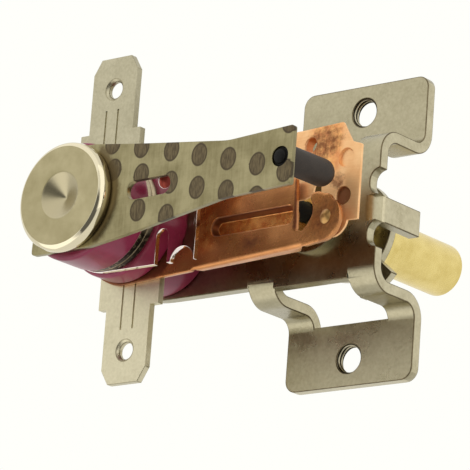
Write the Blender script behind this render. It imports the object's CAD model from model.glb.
# %% [markdown]
# # A heater thermostat, dressed for its portrait
# The real object is a small switch: a riveted pile of glazed ceramic rings, flat push-on
# terminals and thin sprung leaves, carried by a bent steel bracket. A brass shaft turns in
# the bracket and presses on the copper contact arm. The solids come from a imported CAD
# model. This file gives them finishes, and builds again the pieces whose looks or whose
# bending need a finer surface than the CAD solid has.

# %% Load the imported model
import math

import bmesh
import bpy
import numpy as np
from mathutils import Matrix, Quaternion, Vector
from mathutils.geometry import delaunay_2d_cdt


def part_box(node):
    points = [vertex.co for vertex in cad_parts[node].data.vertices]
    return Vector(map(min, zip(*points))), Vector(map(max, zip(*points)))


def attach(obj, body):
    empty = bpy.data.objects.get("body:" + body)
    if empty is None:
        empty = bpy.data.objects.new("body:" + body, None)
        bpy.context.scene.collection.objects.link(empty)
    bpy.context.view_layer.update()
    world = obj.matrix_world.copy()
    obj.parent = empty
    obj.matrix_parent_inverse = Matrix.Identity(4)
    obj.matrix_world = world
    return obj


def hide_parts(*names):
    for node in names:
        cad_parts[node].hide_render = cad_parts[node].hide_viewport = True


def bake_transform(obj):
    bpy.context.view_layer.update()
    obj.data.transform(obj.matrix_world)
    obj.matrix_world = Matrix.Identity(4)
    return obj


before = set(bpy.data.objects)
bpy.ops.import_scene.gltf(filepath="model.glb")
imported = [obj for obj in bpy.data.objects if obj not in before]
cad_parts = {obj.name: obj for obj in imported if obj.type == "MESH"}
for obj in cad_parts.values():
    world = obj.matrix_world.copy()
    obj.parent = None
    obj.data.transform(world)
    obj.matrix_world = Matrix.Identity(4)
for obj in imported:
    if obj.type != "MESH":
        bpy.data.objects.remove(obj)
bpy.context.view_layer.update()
MM = 0.001

# %% [markdown]
# ## The camera
# The photograph was taken from in front, from the right and from below, with a long lens.
# One could turn the object to face the camera, but here the object keeps the CAD frame
# and the camera goes where the photographer stood: a place in millimetres, two angles and
# a small roll, found by fitting known corners to their places in the picture.

# %% Place the camera
EYE = Vector((234.015, -297.915, -109.345)) * MM
AZIMUTH, ELEVATION, ROLL = (math.radians(angle) for angle in (40.279, -15.995, 4.30))
camera_data = bpy.data.cameras.new("photo_camera")
camera_data.sensor_width = 36
camera_data.lens = 275.74
camera_data.clip_start, camera_data.clip_end = 0.02, 20
camera = bpy.data.objects.new("photo_camera", camera_data)
bpy.context.scene.collection.objects.link(camera)
backwards = Vector((
    math.sin(AZIMUTH) * math.cos(ELEVATION),
    -math.cos(AZIMUTH) * math.cos(ELEVATION),
    math.sin(ELEVATION),
))
camera.rotation_mode = "QUATERNION"
camera.location = EYE
camera.rotation_quaternion = (-backwards).to_track_quat("-Z", "Y") @ Quaternion((0, 0, 1), ROLL)
bpy.context.scene.camera = camera
print("camera at", [round(c, 3) for c in EYE])

# %% [markdown]
# ## The studio
# The photograph has an even ground, white with a breath of cream, and very soft light. A
# world that shows this ground to the camera and in reflections, and a little less to matt
# surfaces, gives both. Polished metal looks dead when all it mirrors is white, so
# reflections also find one dark patch, in the direction where a photographer would stand.
# The floor covers the lower part of the world, so its own glow has the same patch. Three
# big lamps add the direction of the light. The floor lies far below, so that a camera
# under the object still sees it.

# %% Helpers for nodes
scene = bpy.context.scene
scene.view_settings.view_transform = "Standard"


def add(tree, kind, inputs=None, **settings):
    """Adds a node, sets its options, and gives its inputs a number or another node's output."""
    node = tree.nodes.new(kind)
    for key, value in settings.items():
        setattr(node, key, value)
    for key, value in (inputs or {}).items():
        if isinstance(value, bpy.types.NodeSocket):
            tree.links.new(value, node.inputs[key])
        else:
            node.inputs[key].default_value = value
    return node


def maths(tree, operation, first, second):
    """One calculation with two values, such as ADD, MULTIPLY or MAXIMUM."""
    return add(tree, "ShaderNodeMath", {0: first, 1: second}, operation=operation).outputs[0]


def spread(tree, value, low, high, from_low=0.0, from_high=1.0):
    """Moves a value from one range to another, and stops at the ends."""
    return add(
        tree, "ShaderNodeMapRange",
        {"Value": value, "From Min": from_low, "From Max": from_high, "To Min": low, "To Max": high},
    ).outputs[0]

# %% World
CREAM = (1, 1, 0.96, 1)
DIFFUSE_LEVEL = 0.62
DARK_TOWARDS = (0.26, -0.91, -0.31)
DARK_RADIUS, DARK_SOFT, DARK_LEVEL = 37, 10, 0.15


def patched(tree, rays, direction):
    """A brightness of 1, which falls to DARK_LEVEL for glossy rays that go towards the dark patch.
    It falls with the cosine between the direction and the patch's own."""
    heading = add(tree, "ShaderNodeVectorMath", {0: direction}, operation="NORMALIZE").outputs[0]
    cosine = add(tree, "ShaderNodeVectorMath", {0: heading, 1: DARK_TOWARDS}, operation="DOT_PRODUCT")
    rim, heart = (math.cos(math.radians(angle)) for angle in (DARK_RADIUS, DARK_RADIUS - DARK_SOFT))
    dark = spread(tree, cosine.outputs["Value"], 1.0, DARK_LEVEL, rim, heart)
    return spread(tree, rays.outputs["Is Glossy Ray"], 1.0, dark)


world = bpy.data.worlds.new("white_studio")
world.use_nodes = True
scene.world = world
sky = world.node_tree
sky.nodes.clear()
rays = add(sky, "ShaderNodeLightPath")
seen = maths(sky, "MAXIMUM", rays.outputs["Is Camera Ray"], rays.outputs["Is Glossy Ray"])
seen = maths(sky, "MAXIMUM", seen, rays.outputs["Is Transmission Ray"])
dark = patched(sky, rays, add(sky, "ShaderNodeTexCoord").outputs["Generated"])
level = maths(sky, "MULTIPLY", spread(sky, seen, DIFFUSE_LEVEL, 1.0), dark)
light = add(sky, "ShaderNodeBackground", {"Color": CREAM, "Strength": level})
add(sky, "ShaderNodeOutputWorld", {"Surface": light.outputs[0]})
print("world with", len(sky.nodes), "nodes")

# %% Floor
FLOOR_Z, FLOOR_HALF = -0.62, 4.0
FLOOR_GREY = (0.8, 0.8, 0.8, 1)
floor_corners = [(x * FLOOR_HALF, y * FLOOR_HALF, FLOOR_Z) for x, y in ((-1, -1), (1, -1), (1, 1), (-1, 1))]
floor_data = bpy.data.meshes.new("floor")
floor_data.from_pydata(floor_corners, [], [(0, 1, 2, 3)])
floor = bpy.data.objects.new("floor", floor_data)
scene.collection.objects.link(floor)
floor_paint = bpy.data.materials.new("pale_floor")
floor_paint.use_nodes = True
floor_tree = floor_paint.node_tree
floor_tree.nodes.clear()
rays = add(floor_tree, "ShaderNodeLightPath")
matt = add(floor_tree, "ShaderNodeBsdfDiffuse", {"Color": FLOOR_GREY})
strength = patched(floor_tree, rays, add(floor_tree, "ShaderNodeTexCoord").outputs["Object"])
glow = add(floor_tree, "ShaderNodeEmission", {"Color": CREAM, "Strength": strength})
direct = maths(floor_tree, "MAXIMUM", rays.outputs["Is Camera Ray"], rays.outputs["Is Glossy Ray"])
mix = add(floor_tree, "ShaderNodeMixShader", {0: direct, 1: matt.outputs[0], 2: glow.outputs[0]})
add(floor_tree, "ShaderNodeOutputMaterial", {"Surface": mix.outputs[0]})
floor_data.materials.append(floor_paint)
print("floor", 2 * FLOOR_HALF, "m wide,", -FLOOR_Z, "m below")

# %% Lamps
LAMPS_AIM = Vector((-0.005, -0.006, 0))


def lamp(name, place, size, power):
    """A square area lamp that looks at the middle of the object."""
    data = bpy.data.lights.new(name, "AREA")
    data.size, data.energy = size, power
    thing = bpy.data.objects.new(name, data)
    scene.collection.objects.link(thing)
    thing.location = place
    thing.rotation_mode = "QUATERNION"
    thing.rotation_quaternion = (LAMPS_AIM - thing.location).to_track_quat("-Z", "Y")
    print(name, power, "W")


lamp("key_lamp", (-0.35, -0.45, 0.55), 1.3, 1.3)
lamp("side_lamp", (0.6, -0.25, 0.25), 1.1, 1.9)
lamp("low_lamp", (-0.35, -0.4, -0.5), 0.9, 1.6)

# %% [markdown]
# ## Finishes from noise
# Each finish is a small tree of nodes that reads Object coordinates, which are metres in
# the CAD frame. So the size of a speck is written in millimetres and stays true on every
# piece. Image textures would be quicker to make, but they stretch, and they need a file.
# A ramp turns the noise into two or three near colours, a second noise changes the
# roughness a little, and a third one gives a faint bump.

# %% Colours, new materials and noise
def srgb(red, green, blue):
    """A colour as a picture stores it, from 0 to 255, turned into the light values that nodes use."""
    value = np.array([red, green, blue]) / 255
    linear = np.where(value <= 0.04045, value / 12.92, ((value + 0.055) / 1.055) ** 2.4)
    return (*linear.tolist(), 1.0)


def finish(name, metallic, roughness, **sockets):
    """A new material. Returns it with its node tree and its Principled shader."""
    material = bpy.data.materials.new(name)
    material.use_nodes = True
    shader = material.node_tree.nodes["Principled BSDF"]
    for key, value in {"Metallic": metallic, "Roughness": roughness, **sockets}.items():
        shader.inputs[key.replace("_", " ")].default_value = value
    return material, material.node_tree, shader


def place_of(tree, size=(1, 1, 1), turn=(0, 0, 0), centre=(0, 0, 0)):
    """Object coordinates, with one pattern step every size millimetres along each axis."""
    where = add(tree, "ShaderNodeTexCoord").outputs["Object"]
    moved = add(tree, "ShaderNodeMapping", {"Vector": where, "Location": [-c * MM for c in centre]})
    scale = [1 / (s * MM) for s in size]
    return add(
        tree, "ShaderNodeMapping", {"Vector": moved.outputs[0], "Rotation": turn, "Scale": scale},
    ).outputs[0]


def specks(tree, size, detail=3.0, rough=0.55, centre=(0, 0, 0), turn=(0, 0, 0)):
    """Noise from 0 to 1 whose blots are about size millimetres across. size may be three numbers."""
    size = size if isinstance(size, tuple) else (size,) * 3
    return add(
        tree, "ShaderNodeTexNoise",
        {"Vector": place_of(tree, size, turn, centre), "Scale": 1.0, "Detail": detail, "Roughness": rough},
    ).outputs[0]


print("a grey of 128 is a light value of", round(srgb(128, 128, 128)[0], 3))

# %% Ramps, mixes, bumps and marks
def ramp(tree, factor, stops):
    """Turns a factor into a colour. stops are pairs of a place from 0 to 1 and a colour."""
    node = add(tree, "ShaderNodeValToRGB", {"Fac": factor})
    bar = node.color_ramp
    while len(bar.elements) < len(stops):
        bar.elements.new(0.5)
    for element, (at, colour) in zip(bar.elements, stops):
        element.position = at
        element.color = colour
    return node.outputs[0]


def mixed(tree, factor, first, second):
    """Mixes two colours. At factor 0 the first one shows."""
    node = add(tree, "ShaderNodeMix", data_type="RGBA")
    for socket, value in zip((node.inputs[0], node.inputs[6], node.inputs[7]), (factor, first, second)):
        if isinstance(value, bpy.types.NodeSocket):
            tree.links.new(value, socket)
        else:
            socket.default_value = value
    return node.outputs[2]


def bumped(tree, height, depth):
    """A bump that rises by depth millimetres as the height goes from 0 to 1."""
    return add(tree, "ShaderNodeBump", {"Height": height, "Distance": depth * MM}).outputs[0]


def wear(tree, name="mark"):
    """A value that a piece carries at each of its points, from 0 to 1."""
    return add(tree, "ShaderNodeAttribute", attribute_name=name).outputs["Fac"]


def connect(tree, shader, **sockets):
    """Links outputs to the shader's sockets of those names."""
    for key, value in sockets.items():
        tree.links.new(value, shader.inputs[key.replace("_", " ")])

# %% [markdown]
# ### Metals of the bracket, terminals and rivet
# Nickel on pressed steel is a warm grey. Its surface is nearly smooth, with cloudy
# patches and short scratches from the barrel that it was plated in. The terminals are
# creamier and duller, and the upper one has soot where it leaves the stack. Dirt stays on
# rounded edges, and sheared ones are pale. The backing plate is bright rolled steel, so it
# mirrors the plum rings. One tree with a few numbers makes them all. The threads and the
# rivet have small trees of their own, which read marks on the mesh.

# %% Plated metals
STACK_X = -20.5
SCRATCH_SHARE = 0.105
SOOT_RADIUS = (6.75, 7.1)
SOOT_HEIGHT = (-3.0, -1.5)


def sooted(tree, colour):
    """Speckled soot over a colour. It fades out past SOOT_RADIUS from the stack's axis and above
    SOOT_HEIGHT, both in millimetres."""
    axis = place_of(tree, (1, 1e6, 1), centre=(STACK_X, 0, 0))
    away = add(tree, "ShaderNodeVectorMath", {0: axis}, operation="LENGTH").outputs["Value"]
    height = add(tree, "ShaderNodeSeparateXYZ", {0: axis}).outputs["Z"]
    near = spread(tree, away, 1.0, 0.0, *SOOT_RADIUS)
    low = spread(tree, height, 1.0, 0.0, *SOOT_HEIGHT)
    grain = specks(tree, 0.35, detail=4.0)
    soot = ramp(tree, grain, [(0.54, srgb(44, 36, 28)), (0.7, srgb(150, 140, 112))])
    return mixed(tree, maths(tree, "MULTIPLY", near, low), colour, soot)


def plated(name, dark, pale, roughness, cloud=5.0, peel=0.012, sooty=False):
    """Cloudy satin metal: two near colours, a patchy roughness, fine scratches and a faint peel.
    cloud is the size of its patches and peel the depth of its skin, in millimetres."""
    material, tree, shader = finish(name, 1.0, roughness)
    clouds = specks(tree, cloud, detail=5.0, rough=0.6)
    fine = specks(tree, 0.35, detail=2.0)
    colour = ramp(tree, mixed(tree, 0.35, clouds, fine), [(0.34, dark), (0.66, pale)])
    scuffs = specks(tree, (0.06, 0.9, 0.9), detail=2.0, turn=(0.2, 0.3, 0.5))
    scuffs = spread(tree, scuffs, 0.0, 1.0, 0.62, 0.72)
    colour = mixed(tree, maths(tree, "MULTIPLY", scuffs, SCRATCH_SHARE), colour, pale)
    if sooty:
        colour = sooted(tree, colour)
    rough = spread(tree, clouds, roughness - 0.05, roughness + 0.09, 0.3, 0.7)
    height = mixed(tree, 0.4, fine, scuffs)
    connect(tree, shader, Base_Color=colour, Roughness=rough, Normal=bumped(tree, height, peel))
    return material


bracket_plating = plated("bracket_nickel", srgb(148, 140, 114), srgb(176, 168, 141), 0.28)
tab_plating = plated(
    "tab_tin", srgb(160, 153, 128), srgb(186, 179, 153), 0.34, cloud=3.0, peel=0.016, sooty=True,
)
low_tab_plating = plated(
    "low_tab_tin", srgb(188, 180, 152), srgb(212, 204, 176), 0.38, cloud=3.0, peel=0.016,
)
tab_edge = plated("tab_edge", srgb(138, 130, 104), srgb(170, 162, 136), 0.34, cloud=1.5)
edge_grime = plated("edge_grime", srgb(84, 74, 54), srgb(128, 116, 90), 0.4, cloud=1.5)
cut_edge = plated("bright_cut_edge", srgb(176, 167, 138), srgb(206, 197, 168), 0.3, cloud=2.0)
washer_plating = plated("washer_zinc", srgb(172, 164, 138), srgb(196, 188, 162), 0.28, cloud=2.5)
backing_steel = plated("backing_bright_steel", srgb(228, 216, 210), srgb(240, 230, 224), 0.07, peel=0.003)
print("materials so far:", len(bpy.data.materials))

# %% Thread and rivet
THREAD_CREST, THREAD_GROOVE = srgb(190, 181, 154), srgb(34, 28, 20)
thread_steel, tree, shader = finish("thread_steel", 1.0, 0.3)
depth = spread(tree, wear(tree), 0.0, 1.0, 0.0, 0.45)
connect(tree, shader, Base_Color=mixed(tree, depth, THREAD_CREST, THREAD_GROOVE))

rivet_metal, tree, shader = finish("rivet_nickel", 1.0, 0.2)
clouds = specks(tree, 2.4, detail=5.0, centre=(STACK_X, 0, 0))
colour = ramp(tree, clouds, [(0.3, srgb(148, 138, 104)), (0.7, srgb(168, 158, 124))])
colour = mixed(tree, wear(tree, "polish"), colour, srgb(214, 204, 176))
colour = mixed(tree, wear(tree, "cone"), colour, srgb(172, 162, 132))
rough = spread(tree, wear(tree, "polish"), 0.24, 0.09)
rough = maths(tree, "ADD", rough, spread(tree, wear(tree, "cone"), 0, 0.03))
connect(tree, shader, Base_Color=colour, Roughness=rough, Normal=bumped(tree, specks(tree, 0.5), 0.003))
print("materials so far:", len(bpy.data.materials))

# %% [markdown]
# ### Brass, copper and the bimetal strip
# The shaft is turned brass with a fine mottled skin, and the bush is the same but dull. The
# leaves are bare copper that was hot many times: it went from salmon to brown in blots,
# most of all near the contacts. The strip's olive steel side was brushed along its
# length and carries dark etched dots, which a mark on the mesh gives.

# %% Brass and copper
def brass(name, dark, pale, roughness):
    """Turned brass: two near colours in clouds, and a fine mottled skin."""
    material, tree, shader = finish(name, 0.95, roughness)
    skin = specks(tree, 0.7, detail=4.0)
    colour = ramp(tree, mixed(tree, 0.3, specks(tree, 3.0, detail=4.0), skin), [(0.35, dark), (0.65, pale)])
    rough = spread(tree, skin, roughness - 0.03, roughness + 0.05, 0.3, 0.7)
    connect(tree, shader, Base_Color=colour, Roughness=rough, Normal=bumped(tree, skin, 0.004))
    return material


brass_metal = brass("turned_brass", srgb(214, 191, 116), srgb(236, 215, 142), 0.26)
bush_brass = brass("dull_bush_brass", srgb(58, 44, 22), srgb(92, 72, 38), 0.4)

BLOT_STARTS, BLOT_FULL, BLOT_SHARE = 0.96, 1.3, 0.9


def heated_copper(name, shade, bright, brown, roughness, blots=0.9, metallic=0.75):
    """Copper sheet with faint rolling lines. The piece's gilt brings a golden tint in small clouds.
    Its mark is added to a noise of blots millimetres, and where the sum passes BLOT_STARTS, heat
    has turned the copper brown and dull."""
    material, tree, shader = finish(name, metallic, roughness)
    clouds = specks(tree, 2.6, detail=6.0, rough=0.62)
    rolling = specks(tree, (6, 6, 0.1), detail=2.0)
    colour = ramp(tree, mixed(tree, 0.25, clouds, rolling), [(0.34, shade), (0.66, bright)])
    streak = specks(tree, 0.9, detail=5.0, rough=0.6)
    gold = ramp(tree, streak, [(0.36, srgb(222, 130, 62)), (0.64, srgb(255, 190, 108))])
    colour = mixed(tree, wear(tree, "gilt"), colour, gold)
    stain = specks(tree, blots, detail=8.0, rough=0.72, centre=(3, 1, 2))
    amount = spread(tree, maths(tree, "ADD", stain, wear(tree)), 0.0, BLOT_SHARE, BLOT_STARTS, BLOT_FULL)
    colour = mixed(tree, amount, colour, brown)
    rough = spread(tree, amount, roughness, roughness + 0.14)
    height = mixed(tree, 0.5, specks(tree, 0.3), rolling)
    connect(tree, shader, Base_Color=colour, Roughness=rough, Normal=bumped(tree, height, 0.005))
    return material


arm_copper = heated_copper(
    "arm_copper", srgb(178, 116, 66), srgb(208, 144, 88), srgb(112, 62, 38), 0.27,
)
blade_copper = heated_copper(
    "blade_copper", srgb(236, 176, 118), srgb(255, 208, 152), srgb(124, 68, 32), 0.4,
    blots=0.6, metallic=0.6,
)
collar_copper = heated_copper(
    "collar_copper", srgb(214, 124, 58), srgb(236, 150, 80), srgb(150, 80, 36), 0.4, metallic=0.4,
)
root_copper = heated_copper(
    "root_copper", srgb(140, 58, 50), srgb(170, 80, 66), srgb(84, 36, 32), 0.35,
)
print("materials so far:", len(bpy.data.materials))

# %% Bimetal and silver
bimetal_metal, tree, shader = finish("brushed_bimetal", 0.9, 0.34)
clouds = specks(tree, 3.0, detail=6.0, rough=0.6)
brushing = specks(tree, (7, 7, 0.14), detail=1.0)
upright = specks(tree, (0.3, 0.3, 3), detail=3.0)
tone = mixed(tree, 0.3, clouds, mixed(tree, 0.8, brushing, upright))
colour = ramp(tree, tone, [(0.38, srgb(122, 113, 80)), (0.62, srgb(152, 143, 108))])
dot_grain = specks(tree, (0.18, 0.18, 0.8), detail=3.0)
dot_tone = ramp(tree, dot_grain, [(0.35, srgb(82, 71, 54)), (0.65, srgb(110, 97, 72))])
dot_middle = spread(tree, wear(tree), 0.0, 1.0, 0.75, 1.0)
dot_tone = mixed(tree, dot_middle, srgb(76, 66, 50), dot_tone)
colour = mixed(tree, spread(tree, wear(tree), 0.0, 1.0, 0.0, 0.35), colour, dot_tone)
smudge = maths(tree, "ADD", specks(tree, 1.2, detail=6.0, rough=0.7), wear(tree, "gilt"))
smudge = spread(tree, smudge, 0.0, 0.85, 0.95, 1.3)
colour = mixed(tree, smudge, colour, srgb(96, 82, 56))
rough = spread(tree, wear(tree), 0.3, 0.5)
connect(tree, shader, Base_Color=colour, Roughness=rough, Normal=bumped(tree, upright, 0.003))

silver_metal, tree, shader = finish("contact_silver", 0.75, 0.38)
colour = ramp(tree, specks(tree, 0.7, detail=4.0), [(0.3, srgb(164, 120, 70)), (0.7, srgb(206, 164, 100))])
connect(tree, shader, Base_Color=colour, Normal=bumped(tree, specks(tree, 0.2), 0.01))
print("materials so far:", len(bpy.data.materials))

# %% [markdown]
# ### Ceramics
# The rings wear a thick plum glaze: a coloured body under a clear glassy layer, which the
# shader's coat gives. Real glaze pools and thins, so the colour drifts, and there are a
# few pin pricks. The drive pin and the adjusting pin are bare dark ceramic, and the
# sleeve is bare white.

# %% Glazed and bare ceramics
plum_glaze, tree, shader = finish(
    "plum_glaze", 0.0, 0.3, Coat_Weight=0.12, Coat_Roughness=0.1, Specular_IOR_Level=0.3,
)
pool = specks(tree, 4.5, detail=3.0)
pricks = spread(tree, specks(tree, 0.22, detail=1.0), 0.0, 1.0, 0.72, 0.78)
colour = ramp(tree, pool, [(0.3, srgb(122, 28, 58)), (0.7, srgb(156, 48, 82))])
colour = mixed(tree, pricks, colour, srgb(70, 18, 38))
connect(tree, shader, Base_Color=colour, Normal=bumped(tree, mixed(tree, 0.3, pool, pricks), 0.02))


def bare_ceramic(name, dark, pale, roughness, gloss=0.35):
    """Unglazed ceramic: a fine sandy grain in two near colours, dull all over."""
    material, tree, shader = finish(name, 0.0, roughness, Specular_IOR_Level=gloss)
    sand = specks(tree, 0.16, detail=3.0, rough=0.7)
    clouds = specks(tree, 1.8, detail=3.0)
    colour = ramp(tree, mixed(tree, 0.5, sand, clouds), [(0.35, dark), (0.65, pale)])
    connect(tree, shader, Base_Color=colour, Normal=bumped(tree, sand, 0.012))
    return material


pin_ceramic = bare_ceramic("dark_pin_ceramic", srgb(40, 33, 27), srgb(58, 48, 40), 0.55)
button_ceramic = bare_ceramic("dark_button_ceramic", srgb(10, 9, 8), srgb(20, 18, 16), 0.6, gloss=0.15)
white_ceramic = bare_ceramic("white_ceramic", srgb(206, 200, 186), srgb(232, 228, 216), 0.6)
print("materials in all:", len(bpy.data.materials))

# %% [markdown]
# ## Rounded edges for the pressed and turned parts
# A punched sheet never has a razor edge: a tiny radius catches the light as a bright line.
# The CAD solids of the bracket, the terminals, the plate, the washers, the bush and the
# shaft have the right shape but sharp edges. So each is copied, its loose triangles are
# merged and its flat faces joined, and a Bevel modifier rounds the edges that carry a
# weight. A limit by angle would need no weights, but it also takes hollow corners and very
# short edges, where a rounding folds over itself. The roundings may have a dirty finish,
# and the sheared faces of the bracket have a pale one. The bevel forgets which edges were
# sharp, so they are marked again after it, and weighted normals keep the flat faces flat.

# %% Edges and cut faces
SHARP_ANGLE, HOLLOW_ANGLE = 32, 12
ROOM_FOR_RADIUS = 1.3
CUT_NORMAL, CUT_DEPTH = 0.9, 0.05


def read(things, key):
    """A vector of every vertex or face of a mesh, as one array with three columns."""
    values = np.empty(3 * len(things))
    things.foreach_get(key, values)
    return values.reshape(-1, 3)


def weigh_edges(shape, radius):
    """Gives a bevel weight of 1 to outer edges that turn by more than SHARP_ANGLE, where no edge
    that meets them is too short for the radius and none is hollow."""
    weight = shape.edges.layers.float.new("bevel_weight_edge")
    least = {vert: min(edge.calc_length() for edge in vert.link_edges) for vert in shape.verts}
    hollow = {
        vert for edge in shape.edges for vert in edge.verts
        if edge.calc_face_angle(0) > math.radians(HOLLOW_ANGLE) and not edge.is_convex
    }
    for edge in shape.edges:
        outer = edge.calc_face_angle(0) > math.radians(SHARP_ANGLE) and edge.is_convex
        roomy = min(least[vert] for vert in edge.verts) > ROOM_FOR_RADIUS * radius * MM
        edge[weight] = float(outer and roomy and hollow.isdisjoint(edge.verts))


def mark_cuts(mesh, index):
    """Gives a material's index to faces that look along X, and to those at both ends of Z, within
    CUT_DEPTH millimetres."""
    heights = np.abs(read(mesh.polygons, "center")[:, 2])
    end = np.abs(read(mesh.vertices, "co")[:, 2]).max() - CUT_DEPTH * MM
    cut = (np.abs(read(mesh.polygons, "normal")[:, 0]) > CUT_NORMAL) | (heights > end)
    mesh.polygons.foreach_set("material_index", np.where(cut, index, 0).astype(np.int32))

# %% Copy a CAD solid and round its edges
SAME_POINT, SAME_PLANE = 0.002, 0.5
BEVEL_SEGMENTS = 3


def object_of(name, mesh, material, sharp):
    """An object for a mesh, shaded smooth but for edges that turn by more than sharp degrees."""
    mesh.materials.clear()
    mesh.materials.append(material)
    mesh.shade_smooth()
    mesh.set_sharp_from_angle(angle=math.radians(sharp))
    piece = bpy.data.objects.new(name, mesh)
    scene.collection.objects.link(piece)
    return piece


def dressed(node, name, body, material, radius, rim=None, cut=None):
    """A merged copy of a CAD node with its edges rounded by radius millimetres. rim is the finish of
    the roundings and cut that of the sheared faces, where they have their own."""
    shape = bmesh.new()
    shape.from_mesh(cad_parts[node].data)
    bmesh.ops.remove_doubles(shape, verts=shape.verts, dist=SAME_POINT * MM)
    bmesh.ops.dissolve_limit(
        shape, angle_limit=math.radians(SAME_PLANE), verts=shape.verts, edges=shape.edges,
    )
    bmesh.ops.recalc_face_normals(shape, faces=shape.faces)
    weigh_edges(shape, radius)
    unbevelled = bpy.data.meshes.new(name)
    shape.to_mesh(unbevelled)
    shape.free()
    piece = object_of(name, unbevelled, material, SHARP_ANGLE)
    bevel = piece.modifiers.new("edge_radius", "BEVEL")
    bevel.width = radius * MM
    bevel.segments = BEVEL_SEGMENTS
    bevel.limit_method = "WEIGHT"
    bevel.use_clamp_overlap = False
    if rim:
        unbevelled.materials.append(rim)
        bevel.material = 1
    if cut:
        unbevelled.materials.append(cut)
        mark_cuts(unbevelled, 2)
    depsgraph = bpy.context.evaluated_depsgraph_get()
    piece.data = bpy.data.meshes.new_from_object(piece.evaluated_get(depsgraph))
    piece.modifiers.clear()
    bpy.data.meshes.remove(unbevelled)
    piece.data.set_sharp_from_angle(angle=math.radians(SHARP_ANGLE))
    shading = piece.modifiers.new("flat_faces_first", "WEIGHTED_NORMAL")
    shading.weight = 100
    shading.keep_sharp = True
    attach(piece, body)
    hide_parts(node)
    print(name, len(piece.data.polygons), "faces")

# %% Bracket, terminals, plate, washers, bush and shaft
dressed(
    "bracket", "bracket_pressing", "frame", bracket_plating, 0.11,
    rim=edge_grime, cut=cut_edge,
)
dressed("upper_terminal", "upper_push_tab", "frame", tab_plating, 0.07, rim=tab_edge)
dressed("lower_terminal", "lower_push_tab", "frame", low_tab_plating, 0.07, rim=tab_edge)
dressed("backing_plate", "bright_backing_plate", "frame", backing_steel, 0.05)
dressed("stop_washer", "stop_washer_blank", "shaft", washer_plating, 0.12, rim=edge_grime)
dressed("rivet_tail_washer", "tail_washer_blank", "frame", washer_plating, 0.1)
dressed("threaded_bush", "bush_turning", "frame", bush_brass, 0.08)
dressed("control_shaft", "shaft_turning", "shaft", brass_metal, 0.06)

# %% [markdown]
# ## Turned shapes
# A rivet, a ring or a pin is one profile carried round an axis. On a grid, one parameter
# runs along the profile and the other round the axis. Blender's Screw modifier does the
# same, but with arrays the radius can also change with the angle, as the thickness of a
# glaze does.

# %% Profiles and the surface of revolution
def rounded(corners, steps=5):
    """A line through corners (a, b, radius) whose corners are bent. Each bend is a quadratic curve
    between the points at that distance before and after the corner."""
    points = np.array([c[:2] for c in corners], float)
    radius = [c[2] if len(c) > 2 else 0 for c in corners]
    line = [points[:1]]
    for before, corner, after, r in zip(points, points[1:], points[2:], radius[1:]):
        if r == 0:
            line.append(corner[None])
            continue
        start = corner + (before - corner) / np.linalg.norm(before - corner) * r
        end = corner + (after - corner) / np.linalg.norm(after - corner) * r
        t = np.linspace(0, 1, steps + 1)[:, None]
        line.append((1 - t) ** 2 * start + 2 * t * (1 - t) * corner + t ** 2 * end)
    line.append(points[-1:])
    return np.concatenate(line)


print("a square with bent corners has", len(rounded([(0, 0), (1, 0, 0.2), (1, 1, 0.2), (0, 1)])), "points")

# %% A piece from points
WELD = 0.0005


def face_outwards(mesh, weld=0.0):
    """Merges the points of a closed mesh that lie within weld millimetres, and turns its faces
    outwards: first they agree with their neighbours, and then the volume inside is positive."""
    shape = bmesh.new()
    shape.from_mesh(mesh)
    if weld:
        bmesh.ops.remove_doubles(shape, verts=shape.verts, dist=weld * MM)
    bmesh.ops.recalc_face_normals(shape, faces=shape.faces)
    if shape.calc_volume(signed=True) < 0:
        bmesh.ops.reverse_faces(shape, faces=shape.faces)
    shape.to_mesh(mesh)
    shape.free()


def piece_from(name, points, faces, material, body, nodes=(), sharp=40):
    """Makes a piece from points in millimetres: doubles are merged, normals face outwards."""
    mesh = bpy.data.meshes.new(name)
    mesh.from_pydata((np.asarray(points, float) * MM).tolist(), [], np.asarray(faces).tolist())
    face_outwards(mesh, WELD)
    piece = object_of(name, mesh, material, sharp)
    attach(piece, body)
    if nodes:
        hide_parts(*nodes)
    print(name, len(mesh.vertices), "points")
    return piece


def mark_points(mesh, key, value):
    """Gives every point of a mesh a value, under a name that a finish reads."""
    mesh.attributes.new(key, "FLOAT", "POINT").data.foreach_set("value", value.astype(np.float32))


def turned_points(profile, steps, swell=None):
    """Points of a profile of (radius, y) carried round the Y axis. swell adds to the radius at each
    angle and height."""
    radius, y = np.asarray(profile, float).T
    angle = np.linspace(0, 2 * np.pi, steps, endpoint=False)
    y = y[:, None] + 0 * angle
    radius = radius[:, None] + 0 * angle
    if swell is not None:
        radius = radius + swell(angle[None, :], y) * (radius > 0.01)
    points = np.stack([radius * np.cos(angle), y, radius * np.sin(angle)], -1)
    return points.reshape(-1, 3)


def grid_faces(rows, columns, wrap_rows):
    """Four-sided faces between neighbours of a grid that wraps along its columns."""
    index = np.arange(rows * columns).reshape(rows, columns)
    if wrap_rows:
        index = np.concatenate([index, index[:1]])
    index = np.concatenate([index, index[:, :1]], axis=1)
    return np.stack([index[:-1, :-1], index[1:, :-1], index[1:, 1:], index[:-1, 1:]], -1).reshape(-1, 4)


def turned(
    name, profile, centre, material, body, nodes=(), steps=128, ring=False, swell=None, sharp=40,
):
    """A turned piece. ring is for a closed profile that keeps clear of the axis."""
    points = turned_points(profile, steps, swell) + np.array([centre[0], 0, centre[1]])
    faces = grid_faces(len(profile), steps, ring)
    return piece_from(name, points, faces, material, body, nodes, sharp)

# %% [markdown]
# ### The stack: rivet and glazed rings
# The rivet's head is pressed flat, with a conical dimple in the middle and a polished
# rounded rim, and its tail is rolled over a washer. Two marks on its points tell the
# finish where the rim and the dimple are. Each ring is a short tube with soft edges. Its
# radius swells and falls by a few hundredths of a millimetre, as glaze does.

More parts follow.
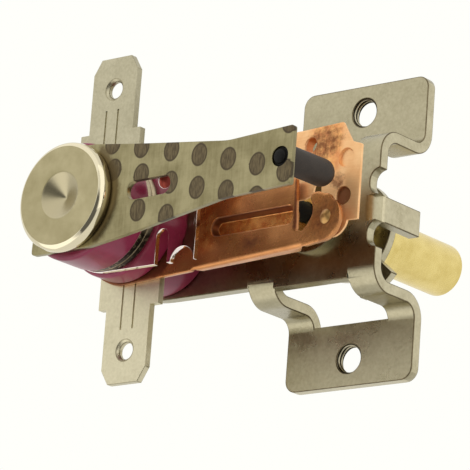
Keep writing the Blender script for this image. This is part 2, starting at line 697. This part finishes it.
# %% Rivet
RIVET = (STACK_X, 0)
HEAD_R, HEAD_Y, STRIP_Y = 5.9, -27.2, -25.6
POLISH_FROM, CONE_TO = HEAD_R - 0.38, 2.6
TAIL_Y = -6.8
head = rounded([
    (0, HEAD_Y + 1.2), (0.2, HEAD_Y + 1.14, 0.1), (2.55, HEAD_Y + 0.05, 0.12), (2.7, HEAD_Y, 0.1),
    (HEAD_R - 0.36, HEAD_Y, 0.05), (HEAD_R + 0.1, HEAD_Y + 0.3, 0.32), (HEAD_R + 0.26, HEAD_Y + 1.1, 0.3),
    (HEAD_R + 0.1, STRIP_Y - 0.02, 0.2), (1.8, STRIP_Y - 0.02, 0.05),
    (1.8, TAIL_Y, 0.05), (2.9, TAIL_Y + 0.02, 0.25), (2.85, TAIL_Y + 0.55, 0.25), (1.8, TAIL_Y + 1.0, 0.3),
    (1.35, TAIL_Y + 0.9, 0.2), (0.75, TAIL_Y - 0.3, 0.2), (0, TAIL_Y - 0.5),
], steps=8)
rivet = turned(
    "rivet_pressing", head, RIVET, rivet_metal, "frame", ("stack_rivet",), steps=160, sharp=25,
)
x, y, z = (read(rivet.data.vertices, "co") / MM).T
away = np.hypot(x - RIVET[0], z - RIVET[1])
mark_points(rivet.data, "polish", (y < STRIP_Y) & (away > POLISH_FROM))
mark_points(rivet.data, "cone", (y < STRIP_Y) & (away < CONE_TO))

# %% Glazed rings
BORE = 2.65
GLAZE_DEPTH = 0.03


def glazed_ring(name, node, start, end, diameter, phase):
    """A short tube with rounded edges. Three sine waves of the angle and the height make its
    outside wander by GLAZE_DEPTH."""
    r = diameter / 2
    profile = rounded([
        (BORE, (start + end) / 2), (BORE, start, 0.2), (r, start, 0.55), (r, end, 0.55), (BORE, end, 0.2),
        (BORE, (start + end) / 2),
    ], steps=8)[:-1]

    def glaze(angle, y):
        """What the glaze adds to the radius."""
        wander = 0.5 * np.sin(3 * angle + phase + y) + 0.3 * np.sin(7 * angle - 1.7 * y)
        wander = wander + 0.2 * np.sin(5 * y + phase)
        return GLAZE_DEPTH * (wander - 1)

    turned(
        name, profile, RIVET, plum_glaze, "frame", (node,), ring=True, swell=glaze, sharp=60,
    )


glazed_ring("front_glazed_ring", "front_ceramic_ring", -24.9, -19.9, 13.3, 0.4)
glazed_ring("middle_glazed_ring", "middle_ceramic_ring", -18.2, -15.3, 13.7, 1.9)
glazed_ring("rear_glazed_ring", "rear_ceramic_ring", -13.9, -8.9, 13.7, 3.1)

# %% [markdown]
# ## Pressed leaves
# The sprung leaves are cut from sheet and bent. One could model each as a box and cut it,
# but then a bend or a pressed bead needs many loop cuts. Here the flat outline comes
# first: a triangle net fills it, and arrays carry every point of the net onto the bent
# shape. A second net behind the first gives the rear face, and a few rows of points round
# the outline give the rounded edge between the two. The points also carry two values, a
# mark and a gilt, which tell the finish where heat, soot or a dot has changed the metal.

# %% Outline tools
def arc(centre, radius, start, end, steps):
    """Points on a circle, from one angle to another in degrees."""
    angle = np.radians(np.linspace(start, end, steps))
    return np.stack([centre[0] + radius * np.cos(angle), centre[1] + radius * np.sin(angle)], -1)


def circle(centre, radius, steps=32):
    """Points all round a circle."""
    return arc(centre, radius, 0, 360, steps + 1)[:-1]


def closed(corners, steps=4):
    """A closed outline of corners (x, z, radius), with each corner bent as in rounded()."""
    mid = [(a + b) / 2 for a, b in zip(corners[-1][:2], corners[0][:2])]
    return rounded([(*mid, 0), *corners, (*mid, 0)], steps)[:-1]


def even(loop, step):
    """Splits the edges of a loop so that none is longer than step."""
    ahead = np.roll(loop, -1, 0)
    counts = np.maximum(1, np.ceil(np.linalg.norm(ahead - loop, axis=1) / step).astype(int))
    return np.concatenate([
        p + (q - p) * np.arange(n)[:, None] / n for p, q, n in zip(loop, ahead, counts)
    ])


def wound(loop, anticlockwise):
    """The loop in the wanted direction, found from the sign of its area."""
    x, z = loop.T
    area = np.sum(x * np.roll(z, -1) - z * np.roll(x, -1))
    return loop if (area > 0) == anticlockwise else loop[::-1]


def mitre(loop):
    """For each point of a loop, the step to its left that moves both its edges by one."""
    ahead = np.roll(loop, -1, 0) - loop
    ahead = ahead / np.linalg.norm(ahead, axis=1, keepdims=True)
    left = np.stack([-ahead[:, 1], ahead[:, 0]], -1)
    both = left + np.roll(left, 1, 0)
    scale = np.maximum((both * left).sum(1, keepdims=True), 0.5)
    return both / scale


print("a circle of radius 1 has", len(even(circle((0, 0), 1), 0.1)), "points at a step of 0.1")

# %% Fill an outline with triangles
ROW_HEIGHT, LEAST_GAP = 0.87, 0.5


def inside(points, loops):
    """Whether each point lies inside an odd number of loops."""
    x, z = points[:, :1], points[:, 1:]
    odd = np.zeros(len(points), bool)
    for loop in loops:
        a, b = loop, np.roll(loop, -1, 0)
        spans = (a[:, 1] > z) != (b[:, 1] > z)
        rise = np.where(np.abs(b[:, 1] - a[:, 1]) < 1e-12, 1e-12, b[:, 1] - a[:, 1])
        crossing = a[:, 0] + (z - a[:, 1]) * (b[:, 0] - a[:, 0]) / rise
        odd ^= ((spans & (x < crossing)).sum(1) % 2).astype(bool)
    return odd


def net(rims, studs, step):
    """Fills the outline with a triangle net: rim points, given extra points and a staggered grid. A
    grid point that lies within LEAST_GAP steps of the others is left out."""
    fixed = np.concatenate(rims + list(studs))
    low, high = fixed.min(0), fixed.max(0)
    x, z = np.meshgrid(np.arange(low[0], high[0], step), np.arange(low[1], high[1], step * ROW_HEIGHT))
    x[1::2] += step / 2
    grid = np.stack([x.ravel(), z.ravel()], -1)
    grid = grid[inside(grid, rims)]
    near = np.full(len(grid), np.inf)
    for part in np.array_split(fixed, max(1, len(fixed) // 200)):
        near = np.minimum(near, np.linalg.norm(grid[:, None] - part[None], axis=2).min(1))
    flat = np.concatenate([fixed, grid[near > LEAST_GAP * step]])
    edges, start = [], 0
    for rim in rims:
        index = np.arange(len(rim))
        edges += np.stack([start + index, start + (index + 1) % len(rim)], -1).tolist()
        start += len(rim)
    corners, _, faces, origins = delaunay_2d_cdt([Vector(p) for p in flat.tolist()], edges, [], 0, 1e-6)[:4]
    source = np.array([
        ids[0] if ids else np.argmin(np.linalg.norm(flat - np.array(p), axis=1))
        for p, ids in zip(corners, origins)
    ])
    triangles = source[np.array(faces)]
    return flat, triangles[inside(flat[triangles].mean(1), rims)]


print("a net over a circle has", len(net([circle((0, 0), 1)], [], 0.2)[1]), "triangles")

# %% From a flat net to a leaf
HOLE_STEP = 0.7
RIM_ANGLES = np.radians([30, 60, 90])
MARKED_DEPTH = 0.6


def leaf(name, outline, holes, thickness, carry, material, edge, step, studs=(), mark=None,
         gilt=None, sharp=50):
    """A pressed leaf. carry(x, z, depth) gives the place of a point of the flat outline at a depth
    behind the front face. edge is the radius of its rounded edge and step the size of its
    triangles. studs are extra points of the net. mark(x, z) and gilt(x, z) give the values that
    the finish reads on the front."""
    loops = [wound(even(outline, step), True)]
    loops += [wound(even(hole, step * HOLE_STEP), False) for hole in holes]
    steps = [mitre(loop) for loop in loops]
    flat, triangles = net([loop + edge * m for loop, m in zip(loops, steps)], studs, step)
    count = len(flat)
    rows = [((1 - math.sin(a)) * edge, (1 - math.cos(a)) * edge) for a in RIM_ANGLES]
    rows += [(i, thickness - d) for i, d in rows[::-1]]
    points, depth = [flat, flat], [np.zeros(count), np.full(count, thickness)]
    faces = triangles.tolist() + (triangles[:, ::-1] + count).tolist()
    total, start = 2 * count, 0
    for loop, m in zip(loops, steps):
        size = len(loop)
        index = [np.arange(size) + start]
        for i, d in rows:
            points.append(loop + i * m)
            depth.append(np.full(size, d))
            index.append(np.arange(size) + total)
            total += size
        index.append(np.arange(size) + start + count)
        index = np.array(index)
        after = np.roll(index, -1, 1)
        faces += np.stack([index[:-1], index[1:], after[1:], after[:-1]], -1).reshape(-1, 4).tolist()
        start += size
    (x, z), depth = np.concatenate(points).T, np.concatenate(depth)
    mesh = bpy.data.meshes.new(name)
    mesh.from_pydata((carry(x, z, depth) * MM).tolist(), [], faces)
    for key, rule in (("mark", mark), ("gilt", gilt)):
        mark_points(mesh, key, rule(x, z) * (depth < thickness * MARKED_DEPTH) if rule else 0 * depth)
    face_outwards(mesh)
    piece = object_of(name, mesh, material, sharp)
    print(name, total, "points,", len(faces), "faces")
    return piece

# %% Smooth steps and bends
def eased(value, low, high):
    """0 below low, 1 above high, and a smooth step between."""
    t = np.clip((value - low) / (high - low), 0, 1)
    return t * t * (3 - 2 * t)


def bent(x, start, y, slope, length):
    """Y of a leaf that lies level up to start and reaches its slope over a bend of that length."""
    along = np.clip(x - start, 0, length)
    return y + slope * along ** 2 / (2 * length) + slope * np.maximum(x - start - length, 0)


print("half way up a smooth step:", float(eased(0.5, 0, 1)))

# %% [markdown]
# ### The bimetal strip
# It tapers from the rivet and then runs parallel to its free end, with a slot in the
# middle. The olive side carries a slanting lattice of dark etched dots. A material could
# find them with distance nodes, one per dot. It is shorter to work out a mark from 0 to 1
# at each point of the net, as the highest of all the dots' soft discs. Rings of extra
# points round each dot keep its edge crisp.

# %% Bimetal strip
STRIP_T = 0.7
STRIP_BEND = {"start": -13, "y": STRIP_Y, "slope": -0.055, "length": 4}
STRIP_DOTS = np.array([
    (-14.8, 5.5), (-14.4, 2.45), (-10.6, 4.5), (-10.35, 1.35), (-10.45, -2.55), (-6.15, 3.45), (-6.0, -0.15),
    (-6.25, -3.75), (-2.05, 2.3), (-2.05, -1.3), (2.15, 1.2), (2.15, -2.35), (6.3, 0.0), (6.4, -3.65),
    (10.5, 3.9), (10.2, -1.3),
])
DOT_HALF = np.array([1.1, 1.25])
DOT_RINGS = (0.84, 0.95, 1.06)
DOT_CLEAR = 0.15
SHRINK_X, SHRINK_Z = 0.985, 0.95
PIN_AT = (9.4, 0.35)


def strip_mark(x, z):
    """The highest of the dots' discs, each 1 inside its ellipse and 0 outside."""
    place = np.stack([x, z], -1)[:, None] - STRIP_DOTS[None]
    away = np.linalg.norm(place / DOT_HALF, axis=2)
    return (1 - eased(away, 0.86, 1.04)).max(1)


def strip_soot(x, z):
    """Dark smudges in the shadow of the rivet's head."""
    return (1 - eased(np.hypot(x - STACK_X, z), 6.0, 8.4)) * eased(x, -17.5, -16)


def strip_carry(x, z, depth):
    """The bent place of a point of the strip."""
    return np.stack([x, bent(x, **STRIP_BEND) + depth, z], -1)


strip_outline = closed([
    (-25.4, -5.8, 0.5), (-17.5, -5.8, 0.6), (1.7, -2.98, 0.8), (11.0, -2.8, 0.25), (11.0, 3.53, 0.3),
    (1.9, 3.25, 0.8), (-17.5, 5.8, 0.6), (-23.9, 5.8, 0.5), (-25.0, 4.4, 0.5),
])
strip_slot = np.concatenate([arc((-7.05, -0.2), 1.05, -90, 90, 15), arc((-11.2, -0.2), 1.05, 90, 270, 15)])
strip_hole = circle(PIN_AT, 1.08)
dot_rings = np.concatenate([dot + circle((0, 0), r) * DOT_HALF for dot in STRIP_DOTS for r in DOT_RINGS])
well_inside = closed([(x * SHRINK_X, z * SHRINK_Z, 0) for x, z in strip_outline])
openings = np.concatenate([strip_slot, strip_hole])
clear = np.linalg.norm(dot_rings[:, None] - openings[None], axis=2).min(1) > DOT_CLEAR
dot_rings = dot_rings[inside(dot_rings, [well_inside, strip_slot, strip_hole]) & clear]
strip = leaf(
    "bimetal_leaf", strip_outline, [strip_slot, strip_hole], STRIP_T, strip_carry, bimetal_metal,
    edge=0.07, step=0.25, mark=strip_mark, gilt=strip_soot, studs=[dot_rings],
)
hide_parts("bimetal_strip")
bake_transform(strip)

# %% [markdown]
# ### The drive pin
# A dark ceramic pin is set in the free end of the strip. Its button shows in front, and
# its long end reaches back to the moving blade. It is turned round the Y axis first, and
# then leaned, so that it stands square to the sloping strip. The button is blacker than
# the shank, so its faces get a finish of their own.

# %% Drive pin
LEANED_STEPS = 96
BUTTON_DEPTH = 0.3


def leaned(name, profile, slope, place, material, body, nodes):
    """A turned piece whose axis is turned about Z, until it stands square to a leaf of that slope,
    and whose origin is moved to a place."""
    angle = math.atan(-slope)
    turn = np.array([
        [math.cos(angle), math.sin(angle), 0], [-math.sin(angle), math.cos(angle), 0], [0, 0, 1],
    ])
    points = turned_points(profile, LEANED_STEPS) @ turn.T + np.array(place)
    faces = grid_faces(len(profile), LEANED_STEPS, False)
    return piece_from(name, points, faces, material, body, nodes, sharp=60)


pin_y = bent(PIN_AT[0], **STRIP_BEND)
pin_end = (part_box("drive_pin")[1].y / MM - pin_y) / math.cos(math.atan(STRIP_BEND["slope"]))
pin_profile = rounded([
    (0, -0.3), (0.5, -0.27, 0.2), (0.76, -0.1, 0.14), (0.8, 0.16, 0.06), (1.0, 0.2, 0.06), (1.07, 0.3, 0.05),
    (1.07, 0.7, 0.02), (1.5, 0.71, 0.12), (1.5, pin_end - 1.5, 0.1), (1.47, pin_end - 1.1, 0.2),
    (1.3, pin_end - 0.75, 0.25), (1.0, pin_end - 0.38, 0.25), (0.55, pin_end - 0.1, 0.25),
    (0, pin_end - 0.02),
], steps=6)
drive_pin = leaned(
    "drive_pin_turning", pin_profile, STRIP_BEND["slope"], (PIN_AT[0], pin_y, PIN_AT[1]), pin_ceramic,
    "bimetal", ("drive_pin",),
)
drive_pin.data.materials.append(button_ceramic)
in_front = read(drive_pin.data.polygons, "center")[:, 1] / MM < pin_y + BUTTON_DEPTH
drive_pin.data.polygons.foreach_set("material_index", in_front.astype(np.int32))

# %% [markdown]
# ### The contact arm
# The arm is the stiffest leaf. Its lower edge is folded back into a flange, and a long
# bead is pressed into its face. Both come from the same carrying function: below the fold
# line a point goes round an arc and then straight back, and near the bead's middle line a
# point sinks by the bead's depth.

# %% Flange and bead
ARM_T = 0.6
ARM_BEND = {"start": -12.5, "y": -15.3, "slope": -0.165, "length": 3}
FOLD_R = 0.35
FLANGE_DEEP = 1.45
FLANGE_LONG = FOLD_R * math.pi / 2 + FLANGE_DEEP - FOLD_R
FLANGE_STARTS, FLANGE_ENDS = (-11.4, -10.9), (5.7, 6.5)
LOW_X, LOW_Z, LOW_FALL = -11, -6.4, 0.0106


def arm_low(x):
    """Height of the arm's lower edge, which falls a little towards the free end."""
    return LOW_Z - LOW_FALL * (x - LOW_X)


BEAD_FROM, BEAD_TO, BEAD_Z = -7.55, 3.3, -2.15
BEAD_FALL = math.tan(math.radians(2.9))
BEAD_DEEP, BEAD_FLOOR, BEAD_EDGE = 1.0, 0.68, 1.08


def bead_middle(x):
    """Height of the bead's middle line."""
    return BEAD_Z - BEAD_FALL * (x - BEAD_FROM)


def bead_depth(x, z):
    """Depth of the bead: full within its floor, and falling to nothing up its sloping wall. Past
    the far end of the middle line the distance is a fourth-power one, which squares that end."""
    along = np.clip(x, BEAD_FROM, BEAD_TO)
    dx, dz = np.abs(x - along), np.abs(z - bead_middle(along))
    away = np.where(x > BEAD_TO, (dx ** 4 + dz ** 4) ** 0.25, np.hypot(dx, dz))
    return BEAD_DEEP * (1 - eased(away, BEAD_FLOOR, BEAD_EDGE))


def bead_contour(away):
    """Points at one distance from the bead's middle line: two lines, a half round and a square end."""
    length = np.arange(BEAD_FROM, BEAD_TO, 0.22)
    sides = [np.stack([length, bead_middle(length) + side * away], -1) for side in (1, -1)]
    left = arc((BEAD_FROM, BEAD_Z), away, 100, 260, 16)
    angle = np.radians(np.linspace(-90, 90, 16))
    square = np.stack([np.cos(angle), np.sin(angle)], -1)
    square = square / (np.abs(square) ** 4).sum(1, keepdims=True) ** 0.25
    return np.concatenate([*sides, left, square * away + np.array([BEAD_TO, bead_middle(BEAD_TO)])])


def arm_carry(x, z, depth):
    """The bent and folded place of a point of the arm's flat outline. Past the fold line it goes
    round a quarter turn and then straight back, but only along the flange's length."""
    front = bent(x, **ARM_BEND)
    fold_z = arm_low(x) + FOLD_R
    past = np.maximum(fold_z - z, 0)
    angle = np.minimum(past / FOLD_R, math.pi / 2)
    straight = np.maximum(past - FOLD_R * math.pi / 2, 0)
    folded_y = FOLD_R * (1 - np.cos(angle)) + straight + depth * np.cos(angle)
    folded_z = np.where(past > 0, fold_z - FOLD_R * np.sin(angle) + depth * np.sin(angle), z)
    share = eased(x, *FLANGE_STARTS) * (1 - eased(x, *FLANGE_ENDS))
    y = front + share * folded_y + (1 - share) * depth
    return np.stack([x, y + bead_depth(x, z), share * folded_z + (1 - share) * z], -1)


print("bead", round(BEAD_TO - BEAD_FROM, 2), "mm long, flange", round(FLANGE_LONG, 2), "mm when flat")

# %% Heat on the arm
def arm_mark(x, z):
    """Heat stain of the arm: near the stack, in the middle, on the lobe, by the window and along the
    bead's wall. Each is a smooth step of a place or a distance in millimetres, times its share."""
    lobe = 1 - eased(np.hypot(x - 9.2, z + 4.1), 1.2, 3.4)
    middle = 1 - eased(np.hypot((x + 2.5) / 2.2, (z + 5.0) / 0.9), 0.6, 1.3)
    inner = 1 - eased(np.hypot(x - STACK_X, z), 7.4, 8.6)
    tip = eased(x, 4.3, 4.6) * (1 - eased(x, 4.9, 5.4)) * eased(z, -4.8, -4.2)
    along = np.clip(x, BEAD_FROM, BEAD_TO)
    away = np.hypot(x - along, z - bead_middle(along))
    wall = eased(away, 0.66, 0.76) * (1 - eased(away, 1.0, 1.12))
    return np.clip(0.36 + 0.26 * lobe + 0.3 * middle + 0.5 * inner + wall + 0.5 * tip, 0, 1)


def arm_gilt(x, z):
    """Golden tint of the arm: strong past its bend and on the bead, weak on the lobe."""
    bend = eased(x, -12.5, -10.6) * (1 - eased(x, -9.0, -7.2)) * eased(z, -5.2, -3.6)
    flange = eased(arm_low(x) + FOLD_R - z, 0.1, 0.5) * eased(x, -11.5, -10.5)
    lobe = 1 - eased(np.hypot(x - 8.6, z + 3.6), 1.4, 3.0)
    return np.clip(bend + bead_depth(x, z) + 0.15 * flange + 0.3 * lobe, 0, 1)

# %% Contact arm
flange_low = -FLANGE_LONG + FOLD_R
arm_outline = np.concatenate([
    arc(RIVET, 7.0, 100, 262, 40),
    rounded([
        (-21.0, -6.98), (-10.9, arm_low(-10.9), 0.2), (-10.3, arm_low(-10.3) + flange_low + 0.5, 0.2),
        (4.7, arm_low(4.7) + flange_low, 0.3), (5.7, arm_low(5.7) - 0.35, 0.3), (6.2, arm_low(6.2), 0.2),
        (7.6, -6.5, 0.2), (9.1, -6.45),
    ])[1:-1],
    arc((9.2, -4.1), 2.35, -91, 50, 30),
    rounded([
        (10.7, -2.35), (10.2, -2.05, 0.2), (9.7, -1.4, 0.3), (8.9, -1.25, 0.2), (8.2, -0.95, 0.2),
        (7.2, -0.9, 0.25), (6.85, -1.4, 0.2), (7.3, -2.2, 0.3), (7.45, -3.2, 0.5), (6.75, -4.25, 0.4),
        (5.9, -4.9, 0.18), (4.95, -4.6, 0.2), (4.75, -2.0, 0.5), (4.5, 1.2, 0.25), (-3.5, 1.2, 1.0),
        (-11, 5.2, 1.0), (-20.5, 6.9),
    ])[1:-1],
])
arm = leaf(
    "contact_arm_leaf", arm_outline, [], ARM_T, arm_carry, arm_copper, edge=0.08, step=0.26,
    studs=[bead_contour(away) for away in np.arange(0.6, 1.2, 0.08)], mark=arm_mark, gilt=arm_gilt, sharp=88,
)
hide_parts("contact_arm")
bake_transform(arm)

# %% [markdown]
# ### The moving blade
# The thinnest leaf is clamped in the stack, leans back past the upper edge of the arm and
# widens into a plate with a hole, two shallow pressed pips and the moving contact. Its
# clamped end stays with the stack, while its free end follows the arm. So it is two
# pieces: the root rides on the frame, and the free part slides out of it a little, as a
# tongue, when the arm moves.

# %% Shape and heat of the blade
BLADE_T = 0.3
BLADE_Y = -18.5
STEP_FROM, STEP_TO, STEP_BACK = -14, 4.2, 1.77
FOLD_X, PLATE_SLOPE, END_SLOPE = 10.75, 0.1, 0.12
PIPS = [(10.6, 2.75), (10.45, -1.42)]
PIP_DEEP = 0.3
DRAWN = (5.35, 4.95)
CONTACT = (9.4, -3.9)


def blade_front(x):
    """Y of the blade's front face: level, then a soft step back along a squared sine, then a slight
    slope forwards up to the fold and another one backwards past it."""
    share = np.clip((x - STEP_FROM) / (STEP_TO - STEP_FROM), 0, 1)
    y = BLADE_Y + STEP_BACK * np.sin(np.pi / 2 * share) ** 2
    y = y - PLATE_SLOPE * np.clip(x - STEP_TO, 0, FOLD_X - STEP_TO)
    return y + END_SLOPE * np.maximum(x - FOLD_X, 0)


def blade_carry(x, z, depth):
    """The bent place of a point of the blade, with the pips pushed back."""
    sunk = sum(1 - eased(np.hypot(x - px, z - pz), 0.92, 1.04) for px, pz in PIPS)
    return np.stack([x, blade_front(x) + depth + PIP_DEEP * sunk, z], -1)


def blade_mark(x, z):
    """Heat stain of the blade: blots in the middle of its plate, and the lower pip quite brown."""
    middle = 1 - eased(np.hypot((x - 7.4) / 3.4, (z - 4.9) / 2.4), 0.3, 1.3)
    lower = 1 - eased(np.hypot(x - PIPS[1][0], z - PIPS[1][1]), 0.9, 1.04)
    touch = 1 - eased(np.hypot((x - 9.6) / 1.4, (z - 0.2) / 1.5), 0.1, 1.3)
    return np.clip(0.28 + 0.44 * middle + 0.6 * lower + 0.45 * touch, 0, 1)


def blade_gilt(x, z):
    """Golden tint of the blade's plate, left of its fold."""
    return 0.7 * eased(x, 4.5, 6.5) * (1 - eased(x, 9.4, 10.4)) * eased(z, 0.5, 2.5)


print("the blade steps back by", round(float(blade_front(STEP_TO) - BLADE_Y), 2), "mm")

# %% Moving blade
SPLIT, TONGUE = -11.0, 0.6
root_outline = closed([
    (-26.2, -3.2, 1.5), (-23.8, -4.2, 0.8), (-16.2, -4.2, 0.4), (-13.4, -2.45, 0.3), (SPLIT, -2.27, 0),
    (SPLIT, 5.6, 0), (-23.8, 5.6, 0.8), (-26.2, 4.2, 1.5),
])
root = leaf(
    "blade_root", root_outline, [], BLADE_T, blade_carry, root_copper, edge=0.04, step=0.5,
)
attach(root, "frame")
free_outline = np.concatenate([
    rounded([
        (SPLIT - TONGUE, 1.6), (SPLIT - TONGUE, -1.7, 0), (SPLIT, -2.22, 0), (-6, 1.6, 1.2),
        (3.2, 1.6, 0.12), (3.2, -0.95, 0.15), (5.1, -0.95, 0.2), (6.1, -0.7, 0.2), (6.3, 0.3, 0.2),
        (7.3, 0.3, 0.3), (7.55, -3.9, 0.1), (7.55, -4.0),
    ])[1:-1],
    arc(CONTACT, 1.85, 182, 352, 36),
    rounded([
        (11.2, -4.15), (11.3, -4.15, 0.05), (12.5, -4.15, 0.12), (12.5, 4.05, 0.15), (11.3, 4.45, 0.15),
        (11.05, 4.9, 0.15), (9.95, 6.75, 0.2), (3.2, 6.75, 0.2), (3.2, 5.6, 0.12),
        (SPLIT - TONGUE, 5.55, 0), (SPLIT - TONGUE, 1.7),
    ])[1:-1],
])
blade = leaf(
    "moving_blade_leaf", free_outline, [circle(DRAWN, 0.85)], BLADE_T, blade_carry, blade_copper,
    edge=0.05, step=0.26, mark=blade_mark, gilt=blade_gilt,
    studs=[circle(pip, r, 40) for pip in PIPS for r in (0.91, 0.98, 1.05)],
)
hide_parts("moving_blade")
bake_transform(blade)

# %% Collar of the drawn hole
COLLAR_DEEP = 1.3
collar_y = blade_front(DRAWN[0]) + BLADE_T * 0.5
collar = rounded([
    (0.86, collar_y + 0.4), (0.85, collar_y, 0.03), (1.04, collar_y, 0.03),
    (1.0, collar_y + COLLAR_DEEP, 0.08), (0.8, collar_y + COLLAR_DEEP, 0.06), (0.86, collar_y + 0.4),
], steps=3)[:-1]
turned("drawn_hole_collar", collar, DRAWN, collar_copper, "blade", steps=64, ring=True)

# %% [markdown]
# ### The fixed contact
# The contact is a silver button riveted through the lobe. From in front one sees its tail,
# headed over to a low golden dome. It stands square to the sloping arm, so it is leaned
# as the drive pin is.

# %% Fixed contact
CONTACT_GAP = 0.2
contact_y = bent(CONTACT[0], **ARM_BEND)
head_deep = (blade_front(CONTACT[0]) - contact_y - ARM_T - CONTACT_GAP) / 2
contact_profile = rounded([
    (0, -0.36), (0.3, -0.33, 0.15), (0.62, -0.15, 0.2), (0.84, 0.02, 0.1), (0.58, 0.05, 0.02),
    (0.58, ARM_T, 0.02), (1.2, ARM_T + 0.01, 0.06), (1.2, ARM_T + head_deep - 0.02, 0.2),
    (0, ARM_T + head_deep),
], steps=6)
leaned(
    "fixed_contact_rivet", contact_profile, ARM_BEND["slope"], (CONTACT[0], contact_y, CONTACT[1]),
    silver_metal, "arm", ("fixed_contact",),
)

# %% [markdown]
# ## Threads in the ears
# Screws go into the two ears, so their holes are tapped. A thread is a groove that climbs
# as it turns: the wall's radius is a zigzag of the height minus the angle's share of one
# pitch. Each thread is a thin tube of its own, whose outer wall hides in the ear. Its
# points carry a mark, their depth in the groove, with which the finish darkens it.

# %% Ear threads
EAR_Z = 14.0
PITCH, RUN_OUT = 0.5, 0.15
THREAD_LOW, THREAD_HIGH = -1.27, -0.03
CREST_R, GROOVE_R, OUTER_R = 1.46, 1.7, 1.74
TOOTH_GAIN, TOOTH_CUT = 1.25, 0.1
THREAD_ROWS, THREAD_STEPS = 60, 96


def thread(name, height):
    """A tube with a zigzag inner wall: the radius falls to its crest once in every pitch. The
    zigzag's tips are cut flat, and the groove runs out at both ends."""
    y = np.linspace(THREAD_LOW, THREAD_HIGH, THREAD_ROWS)
    angle = np.linspace(0, 2 * np.pi, THREAD_STEPS, endpoint=False)
    phase = (y[:, None] / PITCH - angle[None] / (2 * np.pi)) % 1
    zigzag = np.clip((1 - np.abs(2 * phase - 1)) * TOOTH_GAIN - TOOTH_CUT, 0, 1)
    ends = np.minimum(
        eased(y, THREAD_LOW, THREAD_LOW + RUN_OUT), 1 - eased(y, THREAD_HIGH - RUN_OUT, THREAD_HIGH),
    )
    inner = GROOVE_R - (GROOVE_R - CREST_R) * zigzag * ends[:, None]
    radius = np.concatenate([inner, np.full((2, len(angle)), OUTER_R)])
    levels = np.concatenate([y, [THREAD_HIGH, THREAD_LOW]])[:, None] + 0 * angle
    points = np.stack([radius * np.cos(angle), levels, height + radius * np.sin(angle)], -1).reshape(-1, 3)
    faces = grid_faces(len(radius), len(angle), True)
    piece = piece_from(name, points, faces, thread_steel, "frame", sharp=25)
    x, _, z = (read(piece.data.vertices, "co") / MM).T
    groove = (np.hypot(x, z - height) - CREST_R) / (GROOVE_R - CREST_R)
    mark_points(piece.data, "mark", np.clip(groove, 0, 1))


thread("upper_ear_thread", EAR_Z)
thread("lower_ear_thread", -EAR_Z)

# %% [markdown]
# ## What stays as it is
# The small solids that hide between the others keep their CAD shape and only get a
# finish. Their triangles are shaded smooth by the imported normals.

# %% Finishes for the CAD nodes that stay
STAYING = {
    "adjusting_pin": button_ceramic,
    "insulating_sleeve": white_ceramic,
    "moving_contact": silver_metal,
}
for node, material in STAYING.items():
    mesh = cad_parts[node].data
    mesh.materials.clear()
    mesh.materials.append(material)
print("kept as they are:", ", ".join(STAYING))
